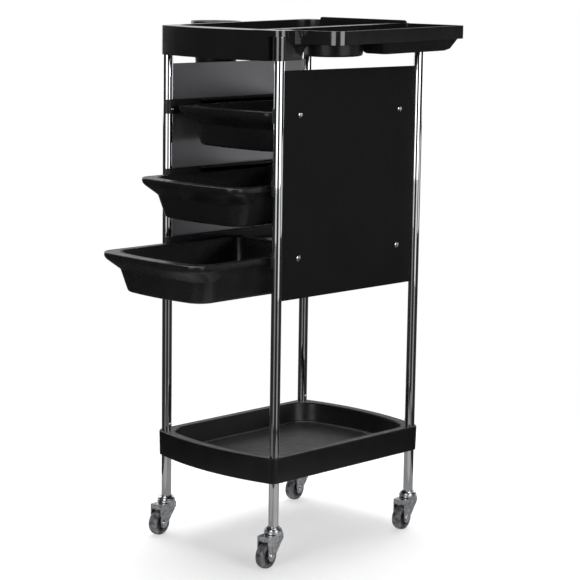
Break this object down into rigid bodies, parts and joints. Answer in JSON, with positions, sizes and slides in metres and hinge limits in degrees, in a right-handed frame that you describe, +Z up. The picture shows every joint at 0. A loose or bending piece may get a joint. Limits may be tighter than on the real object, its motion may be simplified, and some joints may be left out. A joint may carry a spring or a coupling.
{
  "type": "spa trolley cart",
  "caption": "Rolling salon trolley on four casters: chrome posts, sheet side panels, pull-out bins on rails, lower shelf tray, and a top with dryer cup and swing-out side tray.",
  "frame": {"origin": "middle of the bounding box on the floor", "axes": "+Z up, the bins pull out towards -Y, +X to the right seen from the front"},
  "size_m": [0.4366, 0.5088, 0.8353],
  "materials": {
    "black_plastic": "gloss injection-moulded black",
    "satin_plastic": "satin moulded black",
    "panel_paint": "semi-matte black powder coat",
    "chrome_steel": "bright chrome plate",
    "zinc_steel": "zinc-plated pressed steel",
    "grey_tyre": "dark grey rubber tread",
    "dark_hub": "matt moulded hub"
  },
  "bodies": {
    "frame": {"post_front_left": "chrome_steel", "post_front_right": "chrome_steel", "post_rear_left": "chrome_steel", "post_rear_right": "chrome_steel", "panel_left": "panel_paint", "panel_right": "panel_paint", "panel_screw_left_upper_front": "chrome_steel", "panel_screw_left_upper_rear": "chrome_steel", "panel_screw_left_lower_front": "chrome_steel", "panel_screw_left_lower_rear": "chrome_steel", "panel_screw_right_upper_front": "chrome_steel", "panel_screw_right_upper_rear": "chrome_steel", "panel_screw_right_lower_front": "chrome_steel", "panel_screw_right_lower_rear": "chrome_steel", "rail_left_top": "satin_plastic", "rail_right_top": "satin_plastic", "rail_left_middle": "satin_plastic", "rail_right_middle": "satin_plastic", "rail_left_bottom": "satin_plastic", "rail_right_bottom": "satin_plastic", "clip_screw_left_top": "chrome_steel", "clip_screw_left_middle": "chrome_steel", "clip_screw_left_bottom": "chrome_steel", "clip_screw_right_top": "chrome_steel", "clip_screw_right_middle": "chrome_steel", "clip_screw_right_bottom": "chrome_steel", "shelf_tray": "black_plastic", "shelf_screw_front_left": "chrome_steel", "shelf_screw_front_right": "chrome_steel", "shelf_screw_rear_left": "chrome_steel", "shelf_screw_rear_right": "chrome_steel", "top_tray": "black_plastic", "dryer_cup": "black_plastic", "housing_front_left": "zinc_steel", "housing_front_right": "zinc_steel", "housing_rear_left": "zinc_steel", "housing_rear_right": "zinc_steel"},
    "bin_top": {"bin_top": "black_plastic"},
    "bin_middle": {"bin_middle": "black_plastic"},
    "bin_bottom": {"bin_bottom": "black_plastic"},
    "side_tray": {"side_tray": "black_plastic"},
    "swivel_front_left": {"fork_front_left": "zinc_steel", "axle_front_left": "chrome_steel"},
    "wheel_front_left": {"tyre_front_left": "grey_tyre", "hub_front_left": "dark_hub"},
    "swivel_front_right": {"fork_front_right": "zinc_steel", "axle_front_right": "chrome_steel"},
    "wheel_front_right": {"tyre_front_right": "grey_tyre", "hub_front_right": "dark_hub"},
    "swivel_rear_left": {"fork_rear_left": "zinc_steel", "axle_rear_left": "chrome_steel"},
    "wheel_rear_left": {"tyre_rear_left": "grey_tyre", "hub_rear_left": "dark_hub"},
    "swivel_rear_right": {"fork_rear_right": "zinc_steel", "axle_rear_right": "chrome_steel"},
    "wheel_rear_right": {"tyre_rear_right": "grey_tyre", "hub_rear_right": "dark_hub"}
  },
  "joints": [
    {"name": "bin_top_slide", "type": "slide", "parent": "frame", "child": "bin_top", "axis": [0, -1, 0], "range_m": [0, 0.19]},
    {"name": "bin_middle_slide", "type": "slide", "parent": "frame", "child": "bin_middle", "axis": [0, -1, 0], "range_m": [-0.076, 0.114]},
    {"name": "bin_bottom_slide", "type": "slide", "parent": "frame", "child": "bin_bottom", "axis": [0, -1, 0], "range_m": [-0.153, 0.037]},
    {"name": "side_tray_swing", "type": "hinge", "parent": "frame", "child": "side_tray", "pos_m": [0.12725, -0.09265, 0.779], "axis": [0, 0, 1], "range_deg": [-95, 0]},
    {"name": "caster_front_left_swivel", "type": "hinge", "parent": "frame", "child": "swivel_front_left", "pos_m": [-0.12075, -0.09265, 0.0515], "axis": [0, 0, 1], "continuous": true},
    {"name": "wheel_front_left_roll", "type": "hinge", "parent": "swivel_front_left", "child": "wheel_front_left", "pos_m": [-0.11745, -0.11136, 0.02], "axis": [0.9848, 0.1736, 0], "continuous": true},
    {"name": "caster_front_right_swivel", "type": "hinge", "parent": "frame", "child": "swivel_front_right", "pos_m": [0.12725, -0.09265, 0.0515], "axis": [0, 0, 1], "continuous": true},
    {"name": "wheel_front_right_roll", "type": "hinge", "parent": "swivel_front_right", "child": "wheel_front_right", "pos_m": [0.13055, -0.11136, 0.02], "axis": [0.9848, 0.1736, 0], "continuous": true},
    {"name": "caster_rear_left_swivel", "type": "hinge", "parent": "frame", "child": "swivel_rear_left", "pos_m": [-0.12075, 0.22335, 0.0515], "axis": [0, 0, 1], "continuous": true},
    {"name": "wheel_rear_left_roll", "type": "hinge", "parent": "swivel_rear_left", "child": "wheel_rear_left", "pos_m": [-0.11745, 0.20464, 0.02], "axis": [0.9848, 0.1736, 0], "continuous": true},
    {"name": "caster_rear_right_swivel", "type": "hinge", "parent": "frame", "child": "swivel_rear_right", "pos_m": [0.12725, 0.22335, 0.0515], "axis": [0, 0, 1], "continuous": true},
    {"name": "wheel_rear_right_roll", "type": "hinge", "parent": "swivel_rear_right", "child": "wheel_rear_right", "pos_m": [0.13055, 0.20464, 0.02], "axis": [0.9848, 0.1736, 0], "continuous": true}
  ]
}
